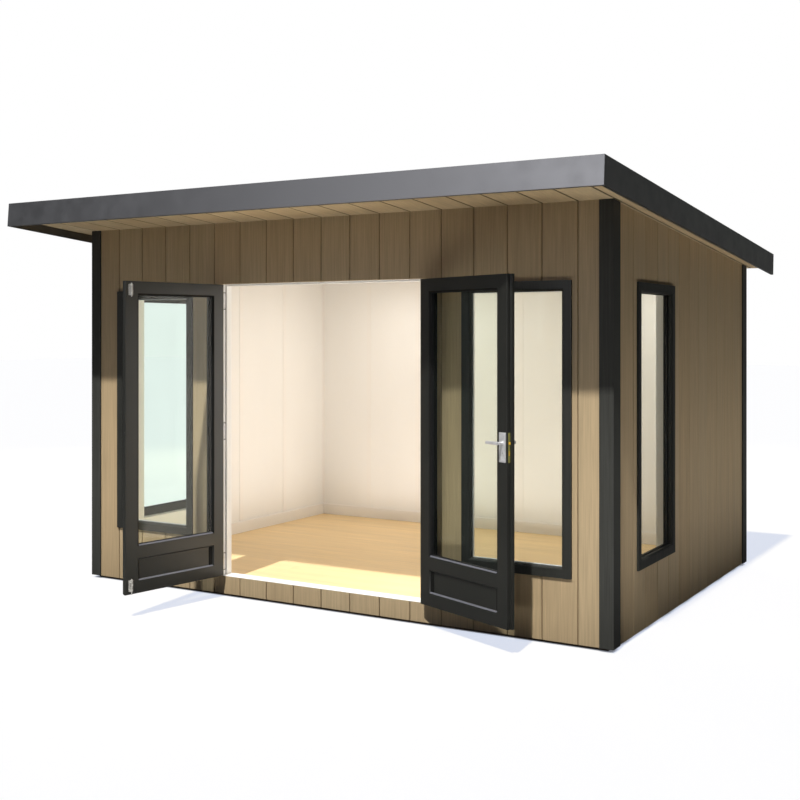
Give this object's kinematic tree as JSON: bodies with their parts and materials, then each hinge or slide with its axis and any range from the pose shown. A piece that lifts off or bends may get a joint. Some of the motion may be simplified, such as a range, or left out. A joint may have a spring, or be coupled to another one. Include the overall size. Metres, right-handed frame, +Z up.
{
  "type": "garden office pod",
  "caption": "Pent-roofed garden office with vertical board cladding, tall side lights, outward glazed double doors, deep front eaves and a raised timber floor.",
  "frame": {"origin": "centre of the wall footprint at ground level, on the underside of the middle floor joist", "axes": "+X to the building's right seen from the front, -Y towards the front with the doors, +Z up"},
  "size_m": [4.354, 3.85, 2.6819],
  "materials": {
    "joist_timber": "rough sawn",
    "deck_board": "sheet",
    "oak_floor": "satin",
    "white_lining": "matt",
    "cladding": "fine grain",
    "soffit_boards": "fine grain",
    "anthracite_trim": "satin",
    "anthracite_fascia": "smooth satin",
    "window_paint": "grained satin",
    "window_glass": "clear",
    "door_paint": "painted grain",
    "white_frame": "satin",
    "roof_core": "foam core",
    "roof_membrane": "matt",
    "satin_metal": "satin",
    "lock_brass": "satin"
  },
  "bodies": {
    "pod": {"back_cladding": "cladding", "back_wall": "white_lining", "ceiling": "white_lining", "corner_trims": "anthracite_trim", "door_cladding": "cladding", "door_frame_head": "white_frame", "door_frame_hinges": "satin_metal", "door_jambs": "white_frame", "floor_deck": "deck_board", "floor_joists": "joist_timber", "front_cladding_left": "cladding", "front_cladding_right": "cladding", "front_fascia": "anthracite_fascia", "front_soffit": "soffit_boards", "front_wall_head": "white_lining", "front_wall_left": "white_lining", "front_wall_right": "white_lining", "front_window_frames": "window_paint", "left_cladding": "cladding", "left_wall": "white_lining", "oak_flooring": "oak_floor", "rear_fascia": "anthracite_fascia", "rear_soffit": "soffit_boards", "right_cladding": "cladding", "right_wall": "white_lining", "roof_covering": "roof_membrane", "roof_panel": "roof_core", "side_fascias": "anthracite_fascia", "side_soffits": "soffit_boards", "side_window_frames": "window_paint", "skirting_boards": "white_lining", "threshold": "white_frame", "window_glass": "window_glass"},
    "left_door": {"left_door_leaf": "door_paint", "left_door_glass": "window_glass", "left_door_hinges": "satin_metal", "left_door_bolt_plates": "satin_metal"},
    "right_door": {"right_door_leaf": "door_paint", "right_door_glass": "window_glass", "right_door_hinges": "satin_metal", "right_door_backplates": "satin_metal", "lock_faceplate": "lock_brass"},
    "lever": {"lever_handles": "satin_metal"},
    "top_bolt": {"top_bolt_rod": "satin_metal"},
    "bottom_bolt": {"bottom_bolt_rod": "satin_metal"}
  },
  "joints": [
    {"name": "left_door_hinge", "type": "hinge", "parent": "pod", "child": "left_door", "pos_m": [-0.804, -1.462, 1.1], "axis": [0, 0, -1], "range_deg": [-100, 70]},
    {"name": "right_door_hinge", "type": "hinge", "parent": "pod", "child": "right_door", "pos_m": [0.804, -1.462, 1.1], "axis": [0, 0, 1], "range_deg": [-157, 13]},
    {"name": "handle_turn", "type": "hinge", "parent": "right_door", "child": "lever", "pos_m": [1.49041, -1.78487, 1.173], "axis": [-0.3907, -0.9205, 0], "range_deg": [0, 45], "stiffness_Nm_per_rad": 1.2, "springref_deg": -20.05},
    {"name": "top_bolt_slide", "type": "slide", "parent": "left_door", "child": "top_bolt", "axis": [0, 0, 1], "range_m": [0, 0.016]},
    {"name": "bottom_bolt_slide", "type": "slide", "parent": "left_door", "child": "bottom_bolt", "axis": [0, 0, -1], "range_m": [0, 0.016]}
  ]
}
